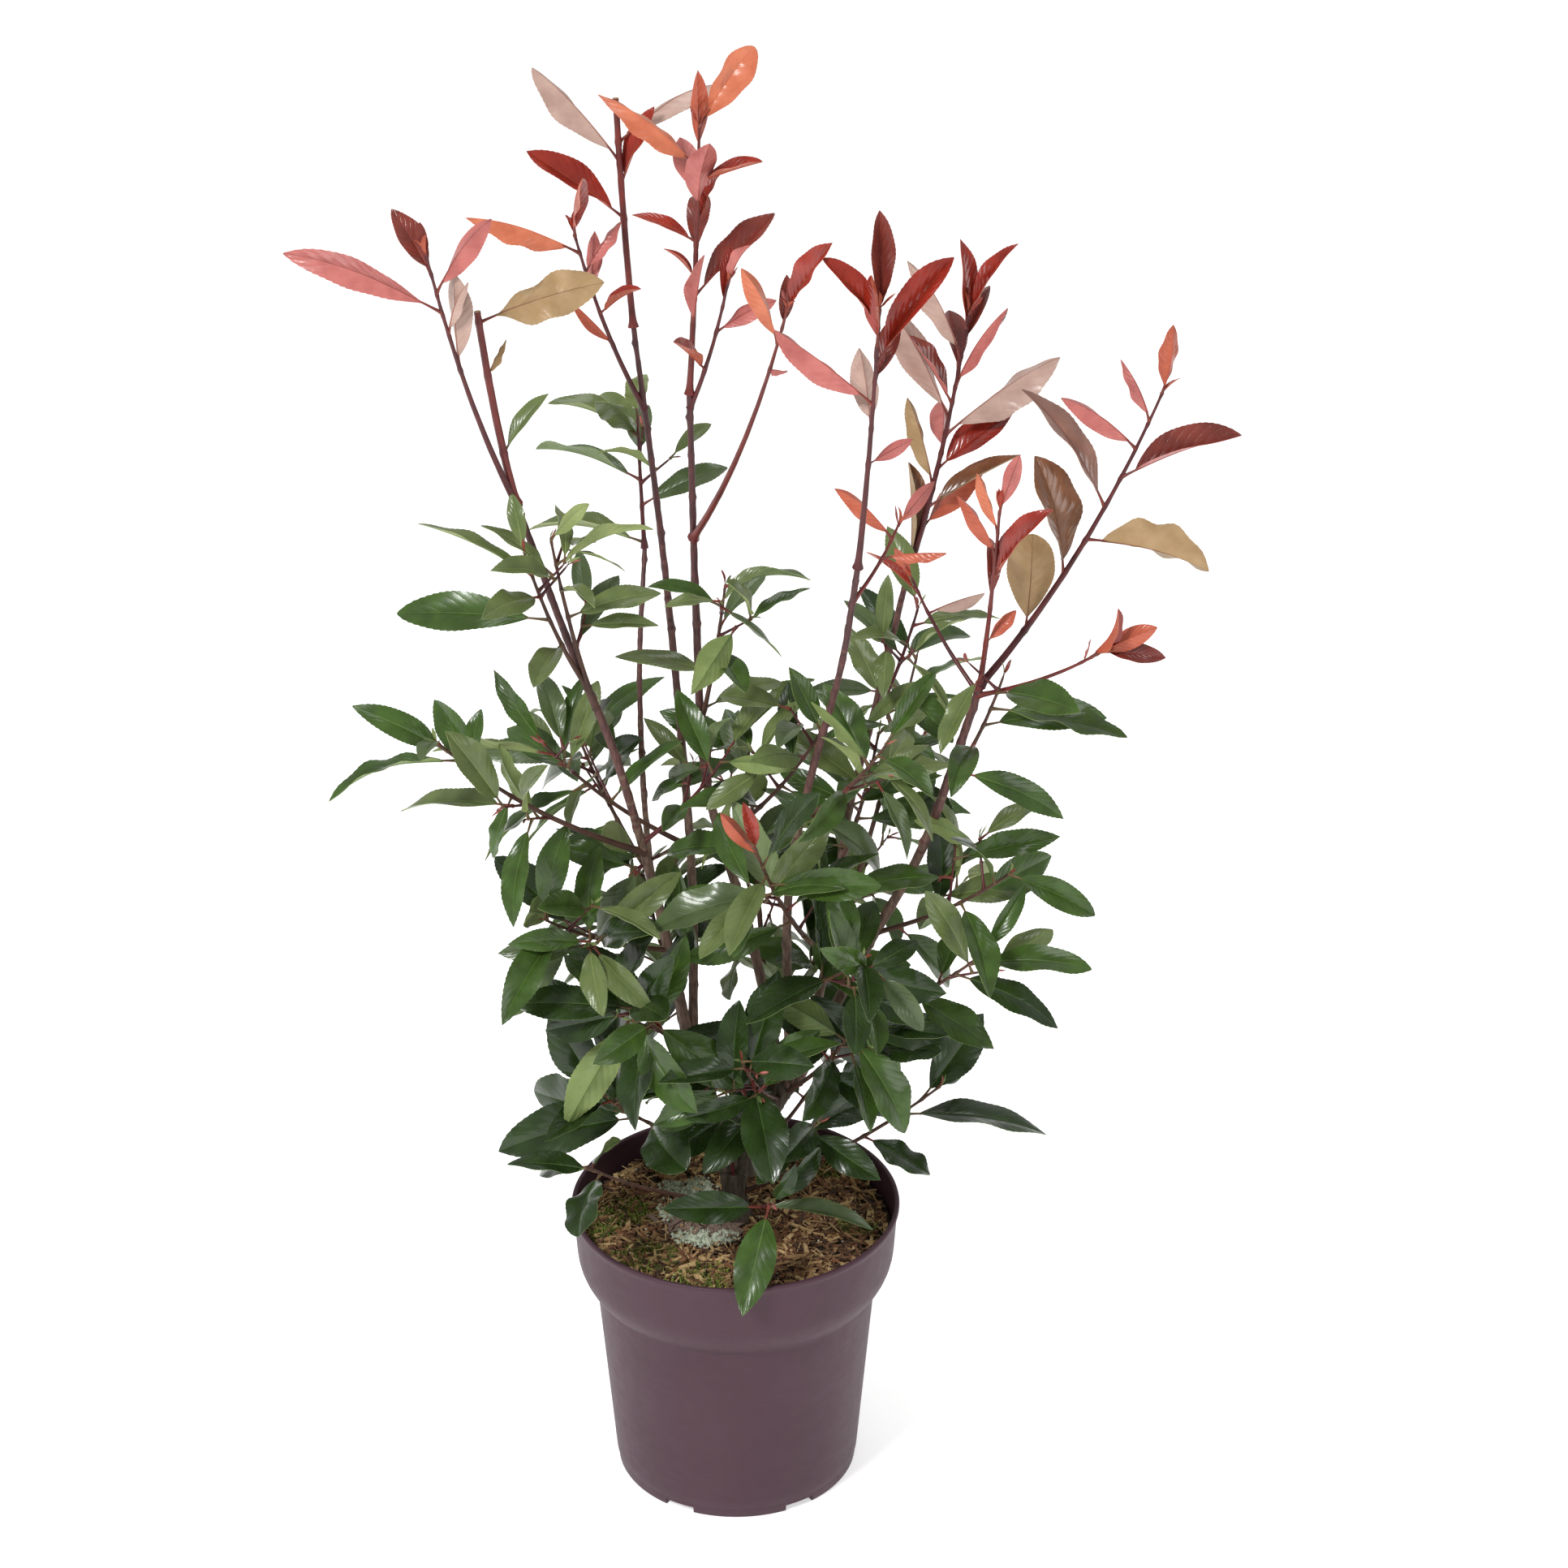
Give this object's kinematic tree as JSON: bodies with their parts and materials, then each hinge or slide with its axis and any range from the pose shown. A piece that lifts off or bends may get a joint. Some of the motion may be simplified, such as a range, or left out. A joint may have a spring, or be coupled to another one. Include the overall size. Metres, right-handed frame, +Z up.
{
  "type": "potted photinia shrub",
  "caption": "Young evergreen photinia shrub with upright stems, green lower leaves and red tip growth, in a round tapered nursery pot filled with soil.",
  "frame": {"origin": "middle of the pot's flat underside, where it stands on the ground", "axes": "+Z up along the pot's axis, -Y towards the side the plant is seen from, +X to that side's right"},
  "size_m": [0.575, 0.3651, 1.0153],
  "materials": {
    "pot_plastic": "matte mauve-brown moulded plastic",
    "potting_soil": "moist bark and peat mix with chips, moss and pale grains",
    "bark": "grey-brown fissured bark of the old wood",
    "young_bark": "smooth purple-brown to maroon bark with pale pores",
    "red_leaves": "glossy young leaves, coral red to maroon",
    "bronze_leaves": "half-grown leaves, bronze and khaki",
    "green_leaves": "leathery deep green leaves with a soft gloss"
  },
  "bodies": {
    "root": {"pot": "pot_plastic", "soil": "potting_soil", "trunk": "bark", "left_bole": "bark", "right_bole": "bark", "left_stem": "young_bark", "back_left_stem": "young_bark", "centre_stem": "young_bark", "front_right_stem": "young_bark", "right_stem": "young_bark", "far_right_stem": "young_bark", "thin_back_stem": "young_bark", "left_top": "bronze_leaves", "left_flush": "red_leaves", "back_left_flush": "red_leaves", "back_left_side": "red_leaves", "centre_flush": "red_leaves", "centre_side": "red_leaves", "slender_flush": "red_leaves", "front_right_flush": "red_leaves", "front_right_twig": "red_leaves", "right_flush": "red_leaves", "far_right_upright": "red_leaves", "far_right_flush": "bronze_leaves", "far_right_low": "red_leaves", "right_inner": "red_leaves", "left_bough": "green_leaves", "left_inner_bough": "green_leaves", "back_left_bough": "green_leaves", "left_outer_leaves": "green_leaves", "left_inner_leaves": "green_leaves", "left_cross": "green_leaves", "right_cross": "green_leaves", "red_heart": "green_leaves", "front_left_leaves": "green_leaves", "front_centre_leaves": "green_leaves", "front_right_leaves": "green_leaves", "centre_right_leaves": "green_leaves", "centre_left_leaves": "green_leaves", "right_low_leaves": "green_leaves", "right_high_leaves": "green_leaves", "right_inner_leaves": "green_leaves", "right_stem_leaves": "green_leaves", "centre_high_leaves": "green_leaves", "left_low_leaves": "green_leaves", "right_skirt": "green_leaves", "low_right_skirt": "green_leaves", "right_rosette": "green_leaves", "left_skirt": "green_leaves", "low_left_skirt": "green_leaves", "thin_front_shoot": "green_leaves", "front_rosette": "green_leaves", "soil_rosette": "green_leaves", "thin_back_top": "green_leaves", "back_right_shoot": "green_leaves", "back_shoot": "green_leaves", "back_left_leaves": "green_leaves", "back_right_leaves": "green_leaves", "back_left_skirt": "green_leaves", "back_right_skirt": "green_leaves"}
  },
  "joints": []
}
